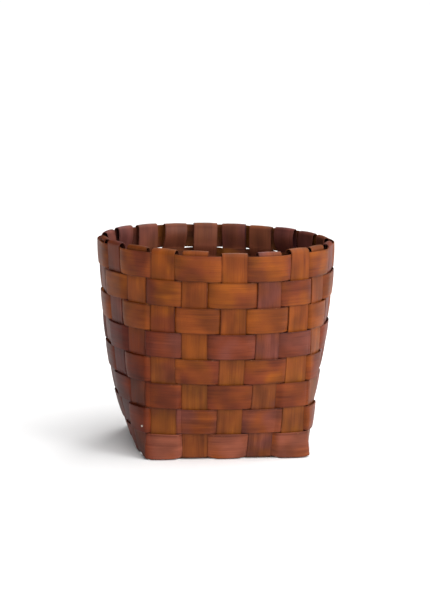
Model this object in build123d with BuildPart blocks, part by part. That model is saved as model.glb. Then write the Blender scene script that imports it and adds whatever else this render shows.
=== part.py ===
"""Plaited wood-splint wastebasket: ten long uprights, eight weaver rings, and the tacks of the laps.

Frame: +Z up, the floor at z = 0, the origin under the middle of the basket, the front towards -Y.
Millimetres throughout.

Ten strips cross in plain weave to make the square base, turn up at its edges and become twenty
uprights, which lean out from the square to the round rim. Eight flat rings are woven through them.
At the rim each upright folds inwards and its end is tucked down behind a ring.
"""

import os
from math import cos, radians, sin

from build123d import *

# Overall size
height = 255.5
rim_radius = 140.0  # to the middle of the uprights' thickness, at the rim
base_side = 195.0  # outside the uprights, at the base
wall_bulge = 7.3  # how far the walls swell beyond a straight line from base to rim

# Strips
strip_thickness = 1.2
strip_clearance = 0.35  # between two strips that lie on each other
upright_width = 30.5
layer = strip_thickness + strip_clearance  # from the middle of one layer to the next

# Base
uprights_per_side = 5
base_pitch = 39.0
bend_radius = 2.4  # to the middle of the thickness, where base turns into wall
ramp_radius = 4.0  # where a base strip climbs over its neighbour
wall_foot = 4.6  # height at which the walls begin to lean
wall_steps = 6  # stretches that a wall is lofted in
end_steps = 10  # stretches that a tucked end is lofted in

# Weaver rings, row 1 at the top
rows = 8
weaver_foot = 4.4  # lower edge of the bottom ring
rim_reveal = 2.8  # height of the folds above the top ring
row_gap = 1.6
weaver_bow = 1.6  # how far a ring swells where it crosses outside an upright
edge_margin = 0.5  # flat stretch of a ring past each edge of an upright
lap_uprights = (14, 11, 12, 19, 10, 17, 2, 15)  # where each ring's two ends overlap, row 1 first

# Rim
rim_pitch = 18.0  # degrees between uprights round the front half
back_pitch = 16.5  # the uprights round the back half stand closer
back_middle = 172.0  # middle of the back half, degrees round from the front
loose_fold = 0.9  # extra depth of the short, bulging folds
end_margin = 5.0  # how far a tucked end stops above the ring's lower edge

# Tacks
tack_head_radius = 1.2
tack_head_thickness = 0.5
tack_shank_radius = 0.5
tack_hole_radius = 0.6
tack_standoff = 0.4  # of the level head from the sloping ring
tack_height = 5.0  # above the ring's lower edge

uprights = 4 * uprights_per_side
side_middle = (uprights_per_side - 1) // 2
front_left = 3  # uprights are numbered anticlockwise seen from above; 3 to 7 stand on the front
front_middle = front_left + side_middle
base_reach = (base_side - strip_thickness) / 2  # to the middle of the uprights, at the base
row_pitch = (height - rim_reveal - weaver_foot + row_gap) / rows
weaver_height = row_pitch - row_gap
tack_face = 2 * layer + weaver_bow + strip_thickness / 2 + tack_standoff  # outside an upright
tack_reach = tack_face + strip_thickness / 2  # from under the head to the upright's inside


def direction(angle):
    """Level unit vector at an angle in degrees from +X."""
    return Vector(cos(radians(angle)), sin(radians(angle)), 0)


def row_bottom(row):
    """Height of a ring's lower edge."""
    return weaver_foot + (rows - row) * row_pitch


def weaver_outside(upright, row):
    """Whether a ring crosses outside an upright: plain weave, over one and under one."""
    return (upright + row) % 2 == 1


def side_angle(upright):
    """Direction that the side of the base faces where an upright starts."""
    return -90 + 90 * ((upright - front_left) % uprights // uprights_per_side)


def rim_angle(upright):
    """Direction that an upright faces at the rim."""
    if upright < uprights / 2:
        return -90 + rim_pitch * (upright - front_middle)
    return -90 + back_middle + back_pitch * (upright - (3 * uprights / 2 - 1) / 2)


def fold_depth(upright):
    """How far inside an upright its end comes down from the fold."""
    if weaver_outside(upright, 1):
        return layer + loose_fold
    doubled = abs(upright - lap_uprights[0]) == 1
    return layer * (3 if doubled else 2)


def fold_foot(upright):
    """Height at which an upright's wall ends and its fold begins."""
    return height - strip_thickness / 2 - fold_depth(upright) / 2


def wall_plane(upright, z, inward=0.0):
    """Level plane at an upright's middle, X along its width and Y towards the inside."""
    rise = max(0, z - wall_foot) / (fold_foot(upright) - wall_foot)
    start_angle = side_angle(upright)
    turn = (rim_angle(upright) - start_angle + 180) % 360 - 180
    place = (upright - front_left) % uprights_per_side - side_middle
    foot = direction(start_angle) * base_reach + direction(start_angle + 90) * base_pitch * place
    top = direction(rim_angle(upright)) * rim_radius
    facing = start_angle + turn * rise
    swell = wall_bulge * 4 * rise * (1 - rise)
    middle = foot + (top - foot) * rise + direction(facing) * (swell - inward)
    return Plane(middle + Vector(0, 0, z), x_dir=direction(facing + 90), z_dir=(0, 0, 1))


def last_tucked_row(upright):
    """Row of the ring that holds an upright's end: the first below the rim that passes inside it."""
    return 2 if weaver_outside(upright, 1) else 3


def tack_plane(row):
    """Plane under the head of the tack of a ring's lap, facing outwards."""
    wall = wall_plane(lap_uprights[row - 1], row_bottom(row) + tack_height)
    return Plane(wall.origin - wall.y_dir * tack_face, x_dir=wall.x_dir, z_dir=-wall.y_dir)


def pierce(row):
    """Makes the hole of a lap's tack in the piece that is being built."""
    with Locations(tack_plane(row)):
        Hole(tack_hole_radius, tack_reach + strip_clearance)


def end_depth(upright, z):
    """How far inside an upright its end hangs at a height: it settles against the upright.

    A short end bulges on the way down behind ring 1, and a long one waits until it is past it.
    """
    fold = fold_depth(upright)
    if weaver_outside(upright, 1):
        settled = (fold_foot(upright) - z) / (fold_foot(upright) - row_bottom(1))
        bulge = loose_fold * sin(radians(180 * min(settled, 1)))
    else:
        settled = (row_bottom(1) - z) / (weaver_height / 2)
        bulge = 0
    settled = min(max(settled, 0), 1)
    return fold + (layer - fold) * settled**2 * (3 - 2 * settled) + bulge


def make_wall(upright):
    """The standing part of an upright, its fold over the rim and its tucked end."""
    top = fold_foot(upright)
    tip = row_bottom(last_tucked_row(upright)) + end_margin
    depth = fold_depth(upright)
    fold = wall_plane(upright, top, depth / 2)
    with BuildPart() as wall:
        for step in range(wall_steps + 1):
            z = wall_foot + (top - wall_foot) * step / wall_steps
            with BuildSketch(wall_plane(upright, z)):
                Rectangle(upright_width, strip_thickness)
        loft()
        with BuildSketch(Plane(fold.origin, x_dir=fold.y_dir, z_dir=fold.x_dir)):
            with BuildLine():
                over = CenterArc((0, 0), (depth + strip_thickness) / 2, 0, 180)
                under = CenterArc((0, 0), (depth - strip_thickness) / 2, 0, 180)
                Line(over @ 0, under @ 0)
                Line(over @ 1, under @ 1)
            make_face()
        extrude(amount=upright_width / 2, both=True)
        for step in range(end_steps + 1):
            z = top + (tip - top) * step / end_steps
            with BuildSketch(wall_plane(upright, z, end_depth(upright, z))):
                Rectangle(upright_width, strip_thickness)
        loft()
    return wall.part


def make_strip(first, last, levels):
    """A long strip from one upright across the base to the opposite one, both folded at the rim."""
    pad = upright_width / 2 + edge_margin
    points = [(-base_reach, wall_foot), (-base_reach, levels[0])]
    for crossing in range(uprights_per_side - 1):
        middle = base_pitch * (crossing - side_middle)
        points.append((middle + pad, levels[crossing]))
        points.append((middle + base_pitch - pad, levels[crossing + 1]))
    points += [(base_reach, levels[-1]), (base_reach, wall_foot)]
    radii = [bend_radius] + [ramp_radius] * (len(points) - 4) + [bend_radius]
    foot = wall_plane(first, 0)
    middle = foot.origin + foot.y_dir * base_reach
    walls = [make_wall(first), make_wall(last)]
    with BuildPart() as strip:
        with BuildSketch(Plane(middle, x_dir=foot.y_dir, z_dir=foot.x_dir)):
            with BuildLine() as route:
                FilletPolyline(*points, radius=radii)
            trace(route.line, line_width=strip_thickness)
        extrude(amount=upright_width / 2, both=True)
        add(walls)
        for row in range(1, rows + 1):
            if lap_uprights[row - 1] in (first, last):
                pierce(row)
    return strip.part


def ring_clearance(upright, row):
    """How far outside an upright's middle a ring's middle passes, negative where it is inside."""
    if weaver_outside(upright, row):
        return layer
    holds_end = row > 1 and row == last_tucked_row(upright)
    return -2 * layer if holds_end else -layer


def across(heading):
    """Unit vector at right angles to a ring's heading, towards the outside."""
    return heading.cross(Vector(0, 0, 1)).normalized()


def ring_pad(upright, z, outward):
    """Where a ring reaches, passes and leaves an upright's middle, each as a point and a heading."""
    wall = wall_plane(upright, z)
    reach = upright_width / 2 + edge_margin
    lean = wall.y_dir * (2 * weaver_bow / reach if outward > 0 else 0)
    middle = wall.origin - wall.y_dir * outward
    arrival = (middle - wall.x_dir * reach, wall.x_dir - lean)
    departure = (middle + wall.x_dir * reach, wall.x_dir + lean)
    return arrival, (middle, wall.x_dir), departure


def ring_knots(row, z):
    """Points and headings along the middle of a ring at one height, at both edges of each upright.

    The ring starts behind an upright, goes outside the next one, where its ends lap, and comes
    round again to pass under its own start and end behind the upright after.
    """
    knots = []
    for step in range(-1, uprights):
        upright = (lap_uprights[row - 1] + step) % uprights
        outward = ring_clearance(upright, row)
        if step in (0, uprights - 1):
            outward += layer if step == 0 else -layer
        arrival, middle, departure = ring_pad(upright, z, outward)
        knots += [middle, departure] if step == -1 else [arrival, departure]
        if step == 1:
            lapped = knots[1:-1] + [middle]
    knots.pop()
    return knots + [(point - across(heading) * layer, heading) for point, heading in lapped]


def draw_ring_face(row, z, side):
    """Draws a ring's outer face with side 1, or its inner face with side -1, and gives its ends.

    From the start, the ring goes by turns straight behind an upright, through to the outside,
    round an upright and back to the inside.
    """
    knots = ring_knots(row, z)
    points = [point + across(heading) * (side * strip_thickness / 2) for point, heading in knots]
    points = [point - Vector(0, 0, z) for point in points]
    for n, (start, end) in enumerate(zip(points, points[1:])):
        if n % 4 == 0:
            Line(start, end)
        elif n % 4 == 2:
            ThreePointArc(start, (start + end) / 2 + across(end - start) * weaver_bow, end)
        else:
            third = (end - start).length / 3
            Bezier(start, start + knots[n][1] * third, end - knots[n + 1][1] * third, end)
    return points[0], points[-1]


def make_weaver(row):
    """A ring, with level edges, that follows the slope of the wall."""
    with BuildPart() as ring:
        for z in (row_bottom(row), row_bottom(row) + weaver_height):
            with BuildSketch(Plane.XY.offset(z)):
                with BuildLine():
                    outer = draw_ring_face(row, z, 1)
                    inner = draw_ring_face(row, z, -1)
                    Line(outer[0], inner[0])
                    Line(outer[1], inner[1])
                make_face()
        loft(ruled=True)
        pierce(row)
    return ring.part


def export(part, name):
    """Labels a finished piece and writes its file."""
    part.label = name
    export_step(part, f"parts/{name}.step")


os.makedirs("parts", exist_ok=True)

# Base strips cross under one and over one, and each goes up two opposite walls
for place in range(uprights_per_side):
    under = [strip_thickness / 2 + layer * ((place + n) % 2) for n in range(uprights_per_side)]
    over = [strip_thickness / 2 + layer * ((place + n + 1) % 2) for n in range(uprights_per_side)]
    front = front_left + place
    back = front_left + 3 * uprights_per_side - 1 - place
    right = front_left + uprights_per_side + place
    left = (front_left - 1 - place) % uprights
    export(make_strip(front, back, under), f"front_to_back_strip_{place + 1}")
    export(make_strip(right, left, over), f"side_to_side_strip_{place + 1}")

for row in range(1, rows + 1):
    export(make_weaver(row), f"weaver_ring_{row}")

# One tack through each ring's lap and the upright behind it
with BuildPart() as lap_tacks:
    for row in range(1, rows + 1):
        with BuildSketch(tack_plane(row)):
            Circle(tack_head_radius)
        extrude(amount=tack_head_thickness)
        with BuildSketch(tack_plane(row)):
            Circle(tack_shank_radius)
        extrude(amount=-tack_reach)
export(lap_tacks.part, "lap_tacks")
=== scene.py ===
"""Looks of the plaited wastebasket: every splint, as it bends and strays by hand, round the CAD frame.

The frame's own axes: +Z up, the front towards -Y, the floor at z = 0. Shapes are worked out in
millimetres and given to Blender in metres. Uprights are numbered anticlockwise seen from above,
3 to 7 on the front; rings are numbered from the top.
"""

from math import cos, floor, pi, radians, sin

import bpy
import numpy as np
from mathutils import Matrix, Vector
from mathutils.bvhtree import BVHTree


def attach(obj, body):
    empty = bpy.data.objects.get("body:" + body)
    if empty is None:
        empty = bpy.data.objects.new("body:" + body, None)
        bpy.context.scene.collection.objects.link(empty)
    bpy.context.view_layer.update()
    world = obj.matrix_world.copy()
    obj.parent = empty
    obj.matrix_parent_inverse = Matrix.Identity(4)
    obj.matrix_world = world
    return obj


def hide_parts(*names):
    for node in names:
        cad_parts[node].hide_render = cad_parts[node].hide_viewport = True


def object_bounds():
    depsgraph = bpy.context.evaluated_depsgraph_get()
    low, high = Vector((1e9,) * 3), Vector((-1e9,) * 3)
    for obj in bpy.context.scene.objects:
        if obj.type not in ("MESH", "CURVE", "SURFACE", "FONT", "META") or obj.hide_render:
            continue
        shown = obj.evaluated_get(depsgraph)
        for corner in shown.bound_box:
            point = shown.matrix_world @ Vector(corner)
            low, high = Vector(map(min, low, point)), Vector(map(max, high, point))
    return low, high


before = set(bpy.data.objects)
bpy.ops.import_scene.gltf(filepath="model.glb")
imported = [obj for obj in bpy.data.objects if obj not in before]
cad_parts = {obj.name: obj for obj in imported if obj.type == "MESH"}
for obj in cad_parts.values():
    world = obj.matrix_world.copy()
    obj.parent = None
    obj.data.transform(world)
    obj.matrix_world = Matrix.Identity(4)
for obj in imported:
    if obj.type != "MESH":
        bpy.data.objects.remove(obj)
cad_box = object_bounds()

# The basket
height = (cad_box[1][2] - cad_box[0][2]) * 1000
rim_radius = 141.2  # to the middle of the uprights
base_reach = 96.9  # from the base's middle to the foot of a wall
base_pitch = 39.0  # between neighbouring uprights at the base
wall_bulge = 7.3  # out of straight, halfway up
wall_foot = 4.6
bend_radius = 2.4  # where the base turns up into the walls
uprights = 20
per_side = 5
front_left = 3
front_middle = 5
upright_width = 30.5
rim_pitch = 18.0  # degrees between uprights round the front half of the rim
back_pitch = 16.5  # and round its back half
back_middle = 172.0  # degrees from the front's middle to the back's

# The rings
rows = 8
ring_foot = 4.4  # height of the bottom ring's lower edge
rim_reveal = 2.8  # how far the folds stand above the top ring
row_gap = 0.9
row_pitch = (height - rim_reveal - ring_foot + row_gap) / rows
lap_uprights = (14, 11, 12, 19, 10, 17, 2, 15)  # where each ring overlaps itself
bottom_droop = 3.4  # how far the bottom ring's lower edge hangs where it passes outside

# How the rings tilt, at the sides; twice as much at the front or the back
top_lift = 0.8  # the top ring's upper edge, all round
top_hang = 1.5  # the same edge, towards the front
row_hang = 1.3  # the seams between rings, towards the front
row_lift = 1.3  # the same seams, towards the back, fading to none at the bottom

# The splints
thickness = 1.1
layer = 1.55  # from the middle of one splint to the middle of the next
cup = 0.55  # how much a splint is hollowed across its width
edge_round = 0.55
edge_flat = 0.85  # how far the rounding thins an edge: 1 would bring it to a point
edge_insets = (0, 0.1, 0.35, 0.75, 1.3)  # rows of points along an edge, in rounding radii
face_rows = 10  # rows of points across a splint's flat
base_clear = 0.5  # under the lower base strips, which are hollowed and waver
bow = 2.1  # how far a ring swells over an upright
end_margin = 5.0  # how far above a ring's lower edge a tucked end stops
wavers = ((0.12, 17), (0.1, 41), (0.1, 23), (0.08, 9))  # two tilts and two swells: size and length

# How an upright gives way to the rings, out and in
sway = 0.4
sway_ease = 1.6  # how soon it has given way fully past a seam
sway_foot = 2.0  # the height at which it starts to, and how far up it has done so
sway_rise = 6.0

# The folds over the rim and the ends tucked behind the rings
tight_fold = 7.4  # width of the loop where the top ring passes outside
loose_fold = 8.2  # and where it passes inside
tight_end_bulge = 2.8
loose_end_bulge = 1.4
tight_settle = 2  # how far below the second ring's upper edge a tight fold's end lies close
loose_settle = 3  # how far above the top ring's lower edge a loose fold's end starts to
settle_share = 0.55  # of a row, in which it has done so
bulge_mean = 0.8
bulge_vary = 0.4
bulge_turn = 1.7  # radians from one upright's bulge to the next one's

# The tacks
tack_radius = 1.3
tack_height = 7.8  # above the ring's lower edge
tack_aside = 13.5  # from the upright's middle
tack_skirt = 0.15
tack_dome = 0.6
tack_shank = ((tack_radius, -0.05), (0.45, -0.15), (0.4, -4.6), (0.0, -5.0))  # radii and heights
tack_segments = 24
dome_steps = 7
ray_start = 20  # how far outside the wall the search for a tack's seat starts

# Where the hand strayed. By place along the front: how far the base strips slid to the right.
# By side (front, right, back, left): how much further the base reaches and the wall swells, all
# the way up and low down. By upright: degrees round the rim, and millimetres up at the rim.
base_slide = (4.0, 2.0, 2.8, 2.0, 1.8)
side_reach = (0.0, 7.0, 0.0, 0.0)
side_swell = (0.0, 2.0, 0.0, 0.8)
side_low_swell = (0.0, 0.0, 0.0, 6.0)
low_scale = 9.5  # brings the low swell's profile to 1 at its highest
corner_swell = 0.18  # how much less a wall swells away from its middle, by the place squared
wide_folds = {3: 4.0, 7: 3.0, 13: 0.8, 15: 1.5}  # millimetres wider than their neighbours
left_turn = 1.3  # how much less each upright further back on the left side reaches, at the base
corner_turn = 0.35  # how late the walls turn from square to round: 1 is evenly, 0 at once
rim_stray = (2.0, 2.6, 2.8, 0.4, -1.4, -0.6, -0.9, -0.9, -4.4, -3.2, -2.0, -1.0, -0.4, -1.8, -2.9, -3.9,
             -3.7, -2.6, -1.2, 0.6)
rim_rise = (0.5, 1.3, 0.9, 0.6, 0.4, -1.2, -0.6, 1.3, 0.9, 0.2, -0.6, -0.7, 0.2, -0.4, 0.2, 0.5, 0.3, 1.1,
            1.8, 1.0)

# Painted shade: low on the uprights, on their tucked ends, and low on the left of the basket
foot_painted_shade = 0.45  # how much painted shade the uprights take low down, against 1 for their tucked ends
painted_shade_top = 160  # the height below which painted shade starts on them, and how far down it is full
painted_shade_fade = 70
left_shade_edge = -78  # painted shade falls to the left of this, and how far on it is strongest
left_shade_blend = 26
left_shade_top = 185  # and below this, and how far down it is strongest
left_shade_fade = 50

# How finely the splints are cut along their length
end_steps = 60
fold_steps = 17
wall_steps = 150
bend_steps = 8
base_steps = 120
climb_length = 7.5  # in which a base strip passes from over one strip to under the next
pad_steps = 13  # where a ring lies flat along an upright
span_steps = 17  # where it runs from one upright to the next
pad_margin = 0.3  # how far inside an upright's edge a ring starts to lie flat behind it


def direction(angle):
    """Level unit vector at an angle in degrees from +X."""
    return np.array([cos(radians(angle)), sin(radians(angle)), 0.0])


up = np.array([0.0, 0.0, 1.0])


def smooth(share):
    """Ease a share from 0 to 1, level at both ends."""
    share = min(max(share, 0.0), 1.0)
    return share * share * (3 - 2 * share)


def smooth_all(shares):
    shares = np.clip(shares, 0.0, 1.0)
    return shares * shares * (3 - 2 * shares)


def ring_outside(upright, row):
    """Whether a ring passes outside an upright: at every other one, shifted by one in the next row."""
    return (upright + row) % 2 == 1


def side_of(upright):
    """Which wall an upright stands in: 0 front, 1 right, 2 back, 3 left."""
    return (upright - front_left) % uprights // per_side


def rim_angle(upright):
    """Degrees from +X at which an upright reaches the rim."""
    if upright < uprights / 2:
        return -90 + rim_pitch * (upright - front_middle) + rim_stray[upright]
    return -90 + back_middle + back_pitch * (upright - (3 * uprights / 2 - 1) / 2) + rim_stray[upright]


def seam(n, upright):
    """Height of the seam below row n at an upright: the rows hang lower at the front."""
    level = ring_foot - row_gap / 2 + (rows - n) * row_pitch
    front = -sin(radians(rim_angle(upright)))
    if n == 0:
        return level + top_lift - top_hang * (1 + front)
    if n == rows:
        return level
    return level - row_hang * (1 + front) + row_lift * (1 - front) * (1 - n / rows)


def ring_low(row, upright):
    return seam(row, upright) + row_gap / 2


def ring_high(row, upright):
    return seam(row - 1, upright) - row_gap / 2


def last_tucked_row(upright):
    """The row that an upright's folded end reaches, and is held behind."""
    return 2 if ring_outside(upright, 1) else 3


def fold_depth(upright):
    """How wide the loop of an upright's fold is."""
    if ring_outside(upright, 1):
        return tight_fold
    return loose_fold + wide_folds.get(upright, 0)


def fold_foot(upright):
    """Height at which an upright's wall ends and its fold begins."""
    return height + rim_rise[upright] - thickness / 2 - fold_depth(upright) / 2


def upright_sway(upright, z):
    """How far an upright stands out of the middle of the weave at a height, or in."""
    row = 1
    while row < rows and z < seam(row, upright):
        row += 1
    high, low = seam(row - 1, upright), seam(row, upright)
    within = (min(z, high) - low) / (high - low)
    hold = 1 if row == 1 and within > 0.5 else min(1, sway_ease * sin(pi * min(max(within, 0), 1)))
    if row == rows and within < 0.5:
        hold = min(1, max(0, (z - sway_foot) / sway_rise))
    return sway * hold * (-1 if ring_outside(upright, row) else 1)


def wall_frame(upright, z, inward=0.0, sways=True):
    """Middle of an upright at a height, with the directions along its width and outwards."""
    rise = min(1, max(0.0, z - wall_foot) / (fold_foot(upright) - wall_foot))
    side = side_of(upright)
    start = 90 * side - 90
    turn = (rim_angle(upright) - start + 180) % 360 - 180
    place = (upright - front_left) % per_side
    aside = place - (per_side - 1) / 2
    reach = base_reach + side_reach[side]
    if side == 3:
        reach -= left_turn * (per_side - 1 - place)
    foot = direction(start) * reach + direction(start + 90) * base_pitch * aside
    if side == 0:
        foot[0] += base_slide[place]
    if side == 2:
        foot[0] += base_slide[per_side - 1 - place]
    top = direction(rim_angle(upright)) * rim_radius
    facing = start + turn * rise**corner_turn
    swell = (wall_bulge + side_swell[side]) * 4 * rise * (1 - rise)
    swell += side_low_swell[side] * low_scale * rise * (1 - rise) ** 3
    swell *= 1 - corner_swell * aside**2
    if sways:
        swell += upright_sway(upright, z)
    middle = foot + (top - foot) * rise + direction(facing) * (swell - inward)
    return middle + up * z, direction(facing + 90), direction(facing)


def end_depth(upright, z):
    """How far inside an upright its tucked end hangs at a height, bulging on its way down."""
    fold, foot = fold_depth(upright), fold_foot(upright)
    if ring_outside(upright, 1):
        settled = (foot - z) / (foot - ring_high(2, upright) + tight_settle)
        bulge = tight_end_bulge
    else:
        settled = (ring_low(1, upright) + loose_settle - z) / (settle_share * row_pitch)
        bulge = loose_end_bulge
    past = (foot - z) / (foot - ring_low(1, upright))
    swell = bulge * sin(pi * min(past, 1)) * (bulge_mean + bulge_vary * sin(bulge_turn * upright))
    return fold + (layer - fold) * smooth(settled) + swell


# ------------------------------------------------------------------ splints as meshes

def strip_mesh(name, low, high, painted_shade_and_tuck, seed):
    """A thin strip between two long edges, with rounded edges, as a closed mesh.

    Its grain map holds the way along and across it. Its shade map holds how much painted shade each
    stretch takes, which on the tucked ends also brings their own stain, and how much painted shade falls
    on it low on the left, both from 0 to 1.
    """
    low, high = np.array(low), np.array(high)
    middle = (low + high) / 2
    width = np.linalg.norm(high - low, axis=1).mean()
    forward = np.gradient(middle, axis=0)
    normal = np.cross(forward, high - low)
    normal /= np.linalg.norm(normal, axis=1)[:, None]
    steps = np.linalg.norm(np.diff(middle, axis=0), axis=1)
    along = np.concatenate([[0], np.cumsum(steps)])

    inset = np.array(edge_insets) * edge_round / width
    x = np.concatenate([inset, np.linspace(0, 1, face_rows)[1:-1], 1 - inset[::-1]])
    corner = np.minimum(1, np.minimum(x, 1 - x) * width / edge_round)
    half = thickness / 2 * np.sqrt(1 - edge_flat * (1 - corner) ** 2)
    starts = np.random.default_rng(seed).uniform(0, 2 * pi, len(wavers))
    waves = [size * np.sin(along / length + start) for (size, length), start in zip(wavers, starts)]
    tilt = waves[0] + waves[1]
    swell = waves[2] + waves[3]
    lift = cup * (1 - (2 * x - 1) ** 2)[None] + tilt[:, None] * (2 * x - 1)[None] + swell[:, None]
    lift -= cup / 2
    surface = low[:, None] + (high - low)[:, None] * x[None, :, None]
    surface = surface + normal[:, None] * lift[:, :, None]
    front = surface + normal[:, None] * half[None, :, None]
    back = surface - normal[:, None] * half[None, :, None]

    n, loop = len(low), 2 * len(x)
    verts = np.concatenate([front, back[:, ::-1]], axis=1).reshape(-1, 3) * 0.001
    i, j = np.meshgrid(np.arange(n - 1), np.arange(loop), indexing="ij")
    k = (j + 1) % loop
    faces = np.stack([i * loop + j, (i + 1) * loop + j, (i + 1) * loop + k, i * loop + k], axis=-1)
    j = np.arange(loop // 2 - 1)
    cap = np.stack([j, j + 1, loop - 2 - j, loop - 1 - j], axis=-1)
    faces = np.concatenate([faces.reshape(-1, 4), cap, cap[:, ::-1] + (n - 1) * loop])
    mesh = bpy.data.meshes.new(name)
    mesh.from_pydata(verts.tolist(), [], faces.tolist())

    across = np.concatenate([x, x[::-1] + 2]) * width
    grain = np.stack([along[faces // loop], across[faces % loop]], axis=-1) * 0.001
    mesh.uv_layers.new(name="grain").data.foreach_set("uv", grain.ravel())
    # Painted shade low on the left of the basket
    left_painted_shade = smooth_all((left_shade_edge - middle[:, 0]) / left_shade_blend)
    left_painted_shade *= smooth_all((left_shade_top - middle[:, 2]) / left_shade_fade)
    shade = np.stack([np.array(painted_shade_and_tuck)[faces // loop], left_painted_shade[faces // loop]], axis=-1)
    mesh.uv_layers.new(name="shade").data.foreach_set("uv", shade.ravel())
    mesh.polygons.foreach_set("use_smooth", [True] * len(mesh.polygons))
    mesh.update()
    piece = bpy.data.objects.new(name, mesh)
    bpy.context.scene.collection.objects.link(piece)
    return piece


def upright_side(upright):
    """Middles, width directions and painted shade from an upright's tucked tip, over its fold, to its
    foot.
    """
    top, depth = fold_foot(upright), fold_depth(upright)
    tip = ring_low(last_tucked_row(upright), upright) + end_margin
    places = []
    for z in np.linspace(tip, top, end_steps)[:-1]:
        middle, along, _ = wall_frame(upright, z, end_depth(upright, z))
        # The tucked ends: full painted shade, and their own stain
        places.append((middle, along, 1.0))
    for turn in np.linspace(0, pi, fold_steps)[:-1]:
        middle, along, out = wall_frame(upright, top, depth / 2)
        rounding = (up * sin(turn) - out * cos(turn)) * depth / 2
        places.append((middle + rounding, along, 1 - smooth(turn / pi)))
    for z in np.linspace(top, wall_foot, wall_steps):
        middle, along, _ = wall_frame(upright, z)
        # Painted shade, darker towards the bottom
        places.append((middle, along, foot_painted_shade * smooth((painted_shade_top - z) / painted_shade_fade)))
    return places


def base_route(levels, near, far):
    """Reaches and heights of a strip's middle across the base, between its two bends."""
    route = []
    for turn in np.linspace(0, pi / 2, bend_steps)[1:]:
        route.append((-near + bend_radius * (1 - cos(turn)), levels[0] + bend_radius * (1 - sin(turn))))
    for reach in np.linspace(-near + bend_radius, far - bend_radius, base_steps)[1:-1]:
        place = min(max(reach / base_pitch + (per_side - 1) / 2, 0), per_side - 1)
        before = int(min(floor(place), per_side - 2))
        climb = smooth((place - before - 0.5) * base_pitch / climb_length + 0.5)
        route.append((reach, levels[before] * (1 - climb) + levels[before + 1] * climb))
    for turn in np.linspace(pi / 2, 0, bend_steps)[:-1]:
        route.append((far - bend_radius * (1 - cos(turn)), levels[-1] + bend_radius * (1 - sin(turn))))
    return route


def long_strip(name, first, last, levels, seed):
    """An upright, the base strip under it and the opposite upright, as one strip."""
    foot, along, out = wall_frame(first, wall_foot)
    end, _, _ = wall_frame(last, wall_foot)
    near, far = foot @ out, -(end @ out)
    middle = foot - out * near
    middle[2] = 0
    places = upright_side(first)
    for reach, z in base_route(levels, near, far):
        # The base carries the uprights' low painted shade
        places.append((middle - out * reach + up * z, along, foot_painted_shade))
    places += [(point, -width, painted_shade_and_tuck) for point, width, painted_shade_and_tuck in reversed(upright_side(last))]
    low = [point - width * upright_width / 2 for point, width, _ in places]
    high = [point + width * upright_width / 2 for point, width, _ in places]
    return strip_mesh(name, low, high, [painted_shade_and_tuck for _, _, painted_shade_and_tuck in places], seed)


def ring_level(upright, row, step):
    """How far outside an upright's middle a ring passes, negative where it is inside."""
    if ring_outside(upright, row):
        return -sway + layer * (2 if step == 0 else 1)
    level = sway - layer * (2 if row > 1 and row == last_tucked_row(upright) else 1)
    return level - (layer if step == uprights - 1 else 0)


def ring_fade(u):
    """From 1 where a ring is over an upright, at u = 0, to 0 where it is behind the next, at u = 1."""
    return (1 - u**4) ** 0.6


def ring_edge(row, heights, droop):
    """Points along one edge of a ring: flat behind the uprights, swelling over those it crosses."""
    reach = upright_width / 2
    pads = []
    for step in range(-1, uprights + 2):
        upright = (lap_uprights[row - 1] + step) % uprights
        middle, along, _ = wall_frame(upright, heights(row, upright), 0, False)
        pads.append([(middle + along * reach * place, along) for place in np.linspace(-1, 1, pad_steps)])

    line, centres = [], []
    for n, pad in enumerate(pads):
        if n:
            (start, leaving), (end, arriving) = pads[n - 1][-1], pad[0]
            chord = np.linalg.norm(end - start)
            for u in np.linspace(0, 1, span_steps)[1:-1]:
                point = start * (1 + 2 * u) * (1 - u) ** 2 + end * (3 - 2 * u) * u**2
                line.append(point + (leaving * (1 - u) - arriving * u) * chord * u * (1 - u))
        centres.append(len(line) + pad_steps // 2)
        line += [point for point, _ in pad]
    line = np.array(line)
    steps = np.linalg.norm(np.diff(line, axis=0), axis=1)
    station = np.concatenate([[0], np.cumsum(steps)])
    outward = np.cross(np.gradient(line, axis=0), up)
    outward /= np.linalg.norm(outward, axis=1)[:, None]

    shift = np.zeros(len(line))
    drop = np.zeros(len(line))
    for n in range(len(centres) - 1):
        step = n - 1
        here = (lap_uprights[row - 1] + step) % uprights
        level = ring_level(here, row, step)
        level_next = ring_level((here + 1) % uprights, row, step + 1)
        if step == uprights:
            level_next -= layer  # the tail ends behind the ring's own start
        over = ring_outside(here, row)
        high, low = (level, level_next) if over else (level_next, level)
        span = station[centres[n + 1]] - station[centres[n]]
        for m in range(centres[n], centres[n + 1] + 1):
            away = station[m] - station[centres[n]]
            away = away if over else span - away
            u = min(1, away / (span - reach + pad_margin))
            shift[m] = low + (high + bow * (1 - u * u) - low) * ring_fade(u)
            drop[m] = droop * ring_fade(u)
    line = line + outward * shift[:, None] - up * drop[:, None]
    return line[centres[0]:centres[-1] + 1]


def ring_strip(name, row, seed):
    """One ring, once round the basket and on under its own start."""
    low = ring_edge(row, ring_low, bottom_droop if row == rows else 0)
    high = ring_edge(row, ring_high, 0)
    return strip_mesh(name, low, high, [0.0] * len(low), seed)


# ------------------------------------------------------------------ stained wood

# Noises in the wood: spots to a metre along a splint and across it, levels of detail, and where
# in the noise they start
drift_noise = (20, 14, 2, 3.0)
band_noise = (9, 130, 3, 7.0)
blotch_noise = (34, 40, 2, 11.0)
pool_noise = (24, 34, 1, 41.0)
fibre_noise = (16, 900, 4, 17.0)
hair_noise = (12, 520, 2, 23.0)
bare_noise = (260, 40, 2, 31.0)
noise_roughness = 0.6
seed_stride = (3.71, 1.37)  # how far the noises move along and across from one splint to the next

# Tints multiply the stain; bare wood and the tucked ends' stain take its place
hair_tint = (0.7, 0.62, 0.62)
edge_tint = (0.45, 0.36, 0.36)
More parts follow.
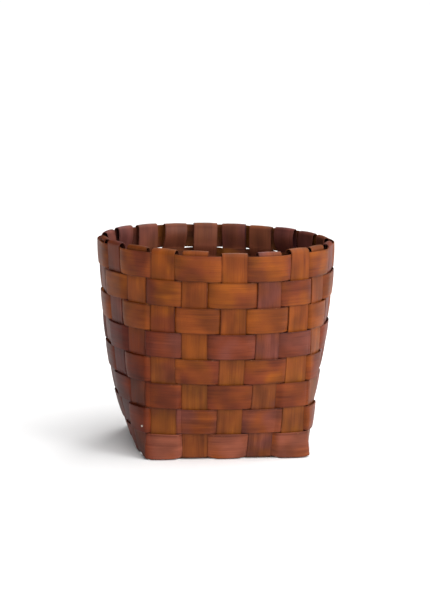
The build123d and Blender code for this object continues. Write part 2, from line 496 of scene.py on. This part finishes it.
# Painted shade inside the basket and low down: darker, with a grey painted sheen
shade_and_sheen_tint = (0.55, 0.85, 2.0)
# Painted shade low on the left
left_shade_tint = (0.5, 0.18, 0.1)
bare_wood = (0.36, 0.16, 0.07)
tucked_stain = (0.25, 0.05, 0.015)

bump_strength = 0.3
bump_depth = 0.00025
wood_specular = 0.12
lacquer = 0.03
lacquer_roughness = 0.4


def splint_material(name, first, second, width, seed):
    """Stained, lacquered wood: grain along the splint, drifting between two stains, worn at the edges,
    with painted shade from the shade map.

    The width is in metres. Each stain is three colours, from its lightest to its darkest.
    """
    material = bpy.data.materials.new(name)
    material.use_nodes = True
    tree = material.node_tree
    link = tree.links.new
    surface = tree.nodes["Principled BSDF"]
    grain = tree.nodes.new("ShaderNodeUVMap")
    grain.uv_map = "grain"
    shade = tree.nodes.new("ShaderNodeUVMap")
    shade.uv_map = "shade"

    def part(source, axis):
        node = tree.nodes.new("ShaderNodeSeparateXYZ")
        link(source, node.inputs[0])
        return node.outputs[axis]

    def sums(operation, first, second=0.0):
        node = tree.nodes.new("ShaderNodeMath")
        node.operation = operation
        for socket, value in zip(node.inputs, (first, second)):
            if isinstance(value, bpy.types.NodeSocket):
                link(value, socket)
            else:
                socket.default_value = value
        return node.outputs[0]

    def noise(along, wide, detail, offset):
        place = tree.nodes.new("ShaderNodeMapping")
        place.inputs["Scale"].default_value = (along, wide, 1)
        starts = (seed * seed_stride[0] + offset, seed * seed_stride[1] + offset, offset)
        place.inputs["Location"].default_value = starts
        link(grain.outputs["UV"], place.inputs["Vector"])
        texture = tree.nodes.new("ShaderNodeTexNoise")
        texture.inputs["Scale"].default_value = 1
        texture.inputs["Detail"].default_value = detail
        texture.inputs["Roughness"].default_value = noise_roughness
        link(place.outputs["Vector"], texture.inputs["Vector"])
        return texture.outputs["Fac"]

    def spread(source, low, high, bottom=0.0, top=1.0):
        node = tree.nodes.new("ShaderNodeMapRange")
        node.interpolation_type = "SMOOTHSTEP"
        node.inputs["From Min"].default_value = low
        node.inputs["From Max"].default_value = high
        node.inputs["To Min"].default_value = bottom
        node.inputs["To Max"].default_value = top
        link(source, node.inputs["Value"])
        return node.outputs["Result"]

    def mix(factor, under, over, blend="MIX"):
        node = tree.nodes.new("ShaderNodeMix")
        node.data_type = "RGBA"
        node.blend_type = blend
        for socket, value in ((node.inputs[0], factor), (node.inputs[6], under), (node.inputs[7], over)):
            if isinstance(value, bpy.types.NodeSocket):
                link(value, socket)
            elif isinstance(value, tuple):
                socket.default_value = (*value, 1)
            else:
                socket.default_value = value
        return node.outputs[2]

    def tinted(factor, under, tint):
        return mix(factor, under, mix(1.0, under, tint, "MULTIPLY"))

    # The stain, drifting, banded, blotched and pooled
    drift = spread(noise(*drift_noise), 0.38, 0.62)
    bands = spread(noise(*band_noise), 0.1, 0.9)
    blotch = spread(noise(*blotch_noise), 0.32, 0.7)
    pools = spread(noise(*pool_noise), 0.3, 0.7, 0.68, 1.14)
    tones = [mix(bands, tone[2], tone[0]) for tone in (first, second)]
    middles = [mix(blotch, pair, tone[1]) for pair, tone in zip(tones, (first, second))]
    colour = mix(drift, middles[0], middles[1])
    # The shade map's first value: painted shade, and above a half also the tucked ends' own stain
    painted_shade_and_tuck = part(shade.outputs["UV"], "X")
    colour = mix(sums("MULTIPLY", spread(painted_shade_and_tuck, 0.5, 1.0), 0.6), colour, tucked_stain)
    colour = mix(1.0, colour, pools, "MULTIPLY")

    # The grain
    fibres = noise(*fibre_noise)
    colour = tinted(spread(noise(*hair_noise), 0.58, 0.8), colour, hair_tint)
    colour = mix(1.0, colour, spread(fibres, 0.25, 0.75, 0.84, 1.12), "MULTIPLY")

    # Darker towards the edges, and worn on them; the margin is in millimetres from the nearer edge
    lane = sums("DIVIDE", part(grain.outputs["UV"], "Y"), width)
    margin = sums("MULTIPLY", sums("PINGPONG", lane, 0.5), width * 1000)
    colour = tinted(sums("MULTIPLY", spread(margin, 0.3, 1.6, 1.0, 0.0), 0.55), colour, edge_tint)
    bare = spread(noise(*bare_noise), 0.6, 0.7)
    worn = sums("MULTIPLY", sums("MULTIPLY", bare, 0.35), spread(margin, 0.0, 0.6, 1.0, 0.0))
    colour = mix(worn, colour, bare_wood)

    # Painted shade, darkened and with a grey painted sheen, on the tucked ends, low on the uprights and
    # on the back face, which is partly its duller unlacquered wood; and painted shade low on the left
    inner = spread(lane, 1.4, 1.6)
    painted_shade_and_back = sums("MAXIMUM", sums("MULTIPLY", painted_shade_and_tuck, 0.8), sums("MULTIPLY", inner, 0.6))
    colour = tinted(painted_shade_and_back, colour, shade_and_sheen_tint)
    # Painted shade low on the left
    colour = tinted(sums("MULTIPLY", part(shade.outputs["UV"], "Y"), 0.75), colour, left_shade_tint)
    link(colour, surface.inputs["Base Color"])

    rough = sums("ADD", spread(fibres, 0.3, 0.7, 0.46, 0.58), sums("MULTIPLY", inner, 0.2))
    link(rough, surface.inputs["Roughness"])
    bump = tree.nodes.new("ShaderNodeBump")
    bump.inputs["Strength"].default_value = bump_strength
    bump.inputs["Distance"].default_value = bump_depth
    link(fibres, bump.inputs["Height"])
    link(bump.outputs["Normal"], surface.inputs["Normal"])
    surface.inputs["Specular IOR Level"].default_value = wood_specular
    surface.inputs["Coat Weight"].default_value = lacquer
    surface.inputs["Coat Roughness"].default_value = lacquer_roughness
    return material


golden = ((0.27, 0.070, 0.004), (0.19, 0.043, 0.004), (0.105, 0.021, 0.003))
orange = ((0.24, 0.056, 0.007), (0.165, 0.035, 0.005), (0.09, 0.016, 0.003))
red = ((0.185, 0.037, 0.010), (0.125, 0.023, 0.007), (0.065, 0.010, 0.004))
plum = ((0.19, 0.050, 0.030), (0.13, 0.032, 0.020), (0.07, 0.015, 0.009))
rose = ((0.26, 0.075, 0.040), (0.19, 0.052, 0.028), (0.11, 0.026, 0.014))

front_stains = ((golden, red), (golden, orange), (golden, orange), (plum, orange), (golden, orange))
side_stains = ((golden, orange), (red, plum), (red, orange), (plum, red), (red, plum))
ring_stains = ((golden, red), (red, golden), (golden, orange), (plum, red), (golden, red), (orange, red),
               (plum, orange), (rose, orange))
side_seeds = 10  # no two splints share a seed
ring_seeds = 20


def dress(piece, node, stains, width, seed):
    """Give a splint its wood, hang it from the root body, and hide the CAD node it stands for."""
    piece.data.materials.append(splint_material(f"{piece.name}_wood", *stains, width / 1000, seed))
    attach(piece, "root")
    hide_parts(node)


for place in range(per_side):
    lowest = thickness / 2 + base_clear
    under = [lowest + layer * ((place + n) % 2) for n in range(per_side)]
    over = [lowest + layer * ((place + n + 1) % 2) for n in range(per_side)]
    front = front_left + place
    back = front_left + 3 * per_side - 1 - place
    right = front_left + per_side + place
    left = (front_left - 1 - place) % uprights
    strip = long_strip(f"front_to_back_splint_{place + 1}", front, back, under, place)
    dress(strip, f"front_to_back_strip_{place + 1}", front_stains[place],
          upright_width, place)
    seed = place + side_seeds
    strip = long_strip(f"side_to_side_splint_{place + 1}", right, left, over, seed)
    dress(strip, f"side_to_side_strip_{place + 1}", side_stains[place],
          upright_width, seed)

rings = []
for row in range(1, rows + 1):
    seed = row + ring_seeds
    strip = ring_strip(f"weaver_splint_{row}", row, seed)
    rings.append(strip.data)
    dress(strip, f"weaver_ring_{row}", ring_stains[row - 1],
          row_pitch - row_gap, seed)


# ------------------------------------------------------------------ tacks

def tack_seat(row):
    """Where the tack stands on a ring's lap, in metres, and the ring's own direction outwards there."""
    upright = lap_uprights[row - 1]
    z = ring_low(row, upright) + tack_height
    middle, along, out = wall_frame(upright, z, 0, False)
    ring = rings[row - 1]
    skin = BVHTree.FromPolygons([vert.co for vert in ring.vertices],
                                [list(face.vertices) for face in ring.polygons])
    outside = middle + along * tack_aside + out * ray_start
    seat, normal, _, _ = skin.ray_cast(Vector(outside / 1000), Vector(-out))
    return np.array(seat), np.array(normal)


def tack_mesh(name):
    """The domed tack through each ring's lap, standing square on the ring, as one mesh."""
    profile = [(0.0, tack_skirt + tack_dome)]
    for turn in np.linspace(0, pi / 2, dome_steps)[1:]:
        profile.append((tack_radius * sin(turn), tack_skirt + tack_dome * cos(turn)))
    profile += tack_shank
    verts, faces = [], []
    for row in range(1, rows + 1):
        seat, out = tack_seat(row)
        across = np.cross(up, out)
        across /= np.linalg.norm(across)
        upwards = np.cross(out, across)
        first = len(verts)
        for radius, lift in profile:
            for n in range(tack_segments if radius else 1):
                turn = 2 * pi * n / tack_segments
                reach = out * lift + (across * cos(turn) + upwards * sin(turn)) * radius
                verts.append((seat + reach * 0.001).tolist())
        last = len(verts) - 1
        for n in range(tack_segments):
            after = (n + 1) % tack_segments
            faces.append((first, first + 1 + n, first + 1 + after))
            for band in range(len(profile) - 3):
                here = first + 1 + band * tack_segments
                below = here + tack_segments
                faces.append((here + n, below + n, below + after, here + after))
            lowest_loop = last - tack_segments
            faces.append((last, lowest_loop + after, lowest_loop + n))
    mesh = bpy.data.meshes.new(name)
    mesh.from_pydata(verts, [], faces)
    mesh.polygons.foreach_set("use_smooth", [True] * len(mesh.polygons))
    piece = bpy.data.objects.new(name, mesh)
    bpy.context.scene.collection.objects.link(piece)
    return piece


tarnish_scale = 900  # spots to a metre
tarnish_dark = (0.42, 0.36, 0.29, 1)
tarnish_light = (0.80, 0.77, 0.70, 1)
steel_roughness = 0.38

tacks = tack_mesh("lap_tack_heads")
steel = bpy.data.materials.new("tack_steel_worn")
steel.use_nodes = True
metal = steel.node_tree.nodes["Principled BSDF"]
metal.inputs["Metallic"].default_value = 1
tarnish = steel.node_tree.nodes.new("ShaderNodeTexNoise")
tarnish.inputs["Scale"].default_value = tarnish_scale
tarnish_ramp = steel.node_tree.nodes.new("ShaderNodeValToRGB")
tarnish_ramp.color_ramp.elements[0].color = tarnish_dark
tarnish_ramp.color_ramp.elements[1].color = tarnish_light
steel.node_tree.links.new(tarnish.outputs["Fac"], tarnish_ramp.inputs["Fac"])
steel.node_tree.links.new(tarnish_ramp.outputs["Color"], metal.inputs["Base Color"])
metal.inputs["Roughness"].default_value = steel_roughness
tacks.data.materials.append(steel)
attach(tacks, "root")
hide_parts("lap_tacks")


# ------------------------------------------------------------------ studio and camera

# From here on, metres and degrees
floor_radius = 60
floor_colour = (0.84, 0.84, 0.84, 1)
floor_roughness = 0.9

# The sky: bright round one direction, at the right in front and well up, and dim on its far side
sky_turn = -50
sky_lift = 41
sky_edge = -0.05  # cosine of the angle from that direction where it gets dimmest
sky_dim = 0.06
sky_bright = 2.48

# The view: from the front, a little from the left and above, with a slight roll
view_distance = 2.6
view_turn = 9.66
view_fall = 10.06
view_roll = 1.26
view_tilt = 1.0627  # how far above the basket's middle the camera aims
view_pan = 0.0272  # and how far to its right
lens = 126.27  # millimetres, on a 36 mm sensor
light_aim = 0.12  # height that the lights are turned to

bpy.ops.mesh.primitive_circle_add(vertices=96, radius=floor_radius, fill_type="NGON", location=(0, 0, 0))
studio_floor = bpy.context.object
studio_floor.name = "studio_floor"
floor_material = bpy.data.materials.new("studio_floor")
floor_material.use_nodes = True
floor_surface = floor_material.node_tree.nodes["Principled BSDF"]
floor_surface.inputs["Base Color"].default_value = floor_colour
floor_surface.inputs["Roughness"].default_value = floor_roughness
studio_floor.data.materials.append(floor_material)

world = bpy.data.worlds.new("studio")
bpy.context.scene.world = world
world.use_nodes = True
sky = world.node_tree.nodes["Background"]
sky.inputs["Color"].default_value = (1, 1, 1, 1)
way = world.node_tree.nodes.new("ShaderNodeTexCoord")
facing = world.node_tree.nodes.new("ShaderNodeVectorMath")
facing.operation = "DOT_PRODUCT"
sky_middle = direction(sky_turn) * cos(radians(sky_lift)) + up * sin(radians(sky_lift))
facing.inputs[1].default_value = sky_middle.tolist()
glow = world.node_tree.nodes.new("ShaderNodeMapRange")
glow.interpolation_type = "SMOOTHSTEP"
glow.inputs["From Min"].default_value = sky_edge
glow.inputs["To Min"].default_value = sky_dim
glow.inputs["To Max"].default_value = sky_bright
world.node_tree.links.new(way.outputs["Generated"], facing.inputs[0])
world.node_tree.links.new(facing.outputs["Value"], glow.inputs["Value"])
world.node_tree.links.new(glow.outputs["Result"], sky.inputs["Strength"])
bpy.context.scene.view_settings.view_transform = "Standard"


def area_light(name, turn, lift, distance, size, power):
    """A soft light, placed by its angles to the right of the camera and up, seen from the basket."""
    aim = up * light_aim
    level = direction(-90 - view_turn + turn)
    place = (level * cos(radians(lift)) + up * sin(radians(lift))) * distance + aim
    light = bpy.data.lights.new(name, "AREA")
    light.shape = "RECTANGLE"
    light.size, light.size_y = size
    light.energy = power
    holder = bpy.data.objects.new(name, light)
    bpy.context.scene.collection.objects.link(holder)
    holder.location = place
    holder.rotation_euler = Vector(aim - place).to_track_quat("-Z", "Y").to_euler()


area_light("key_light", turn=48, lift=31, distance=2.5, size=(1.0, 1.0), power=18)
area_light("rim_light", turn=165, lift=55, distance=2.2, size=(0.6, 0.6), power=16)


def swung(first, second, angle):
    """Two directions square to each other, both turned in their plane, the first towards the second."""
    turn = radians(angle)
    return first * cos(turn) + second * sin(turn), second * cos(turn) - first * sin(turn)


ahead, _ = swung(direction(90 - view_turn), -up, view_fall)
rightward = direction(-view_turn)
above = np.cross(rightward, ahead)
eye = up * height / 2000 - ahead * view_distance
rightward, above = swung(rightward, above, view_roll)
ahead, above = swung(ahead, above, view_tilt)
ahead, rightward = swung(ahead, rightward, view_pan)
axes = np.array([rightward, above, -ahead]).T.tolist()

camera_data = bpy.data.cameras.new("camera")
camera_data.sensor_width = 36
camera_data.lens = lens
camera_data.clip_end = 50
camera = bpy.data.objects.new("camera", camera_data)
bpy.context.scene.collection.objects.link(camera)
camera.matrix_world = Matrix([(*row, 0) for row in axes] + [(0, 0, 0, 1)])
camera.location = eye
bpy.context.scene.camera = camera
